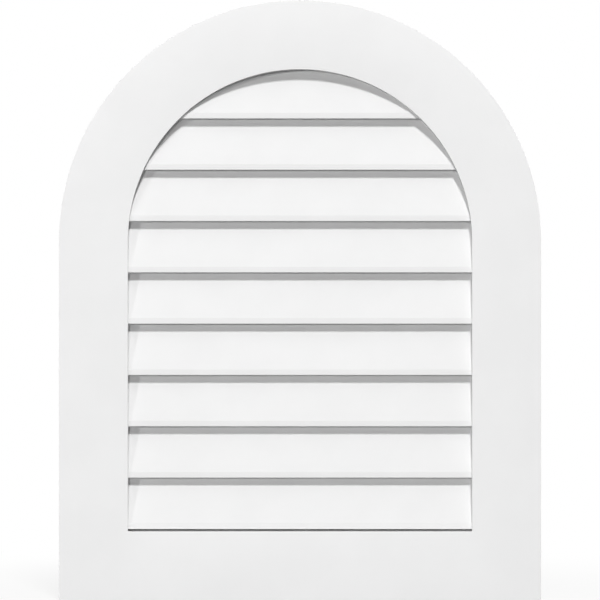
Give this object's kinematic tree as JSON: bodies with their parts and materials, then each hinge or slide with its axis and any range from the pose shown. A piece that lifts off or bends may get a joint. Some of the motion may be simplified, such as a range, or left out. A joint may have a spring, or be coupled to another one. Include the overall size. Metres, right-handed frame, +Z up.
{
  "type": "arch-top louvred gable vent",
  "caption": "White arch-top gable vent: a flat trim frame with fixed sloped louvres in a shallow box and an insect screen behind, fixed to a wall to ventilate an attic.",
  "frame": {"origin": "on the wall plane, at mid-width of the bottom edge of the trim's back face", "axes": "+Z up the vent, +X across it, +Y into the wall, so the louvres face -Y"},
  "size_m": [0.6224, 0.0254, 0.7746],
  "materials": {
    "trim": "satin",
    "liner": "satin",
    "louver": "satin",
    "screen": "galvanised",
    "staple": "galvanised"
  },
  "bodies": {
    "root": {"face_trim": "trim", "jamb_left": "liner", "jamb_right": "liner", "sill_liner": "liner", "arch_head": "liner", "louver_1": "louver", "louver_2": "louver", "louver_3": "louver", "louver_4": "louver", "louver_5": "louver", "louver_6": "louver", "louver_7": "louver", "louver_8": "louver", "louver_9": "louver", "insect_screen": "screen", "screen_staples": "staple"}
  },
  "joints": []
}
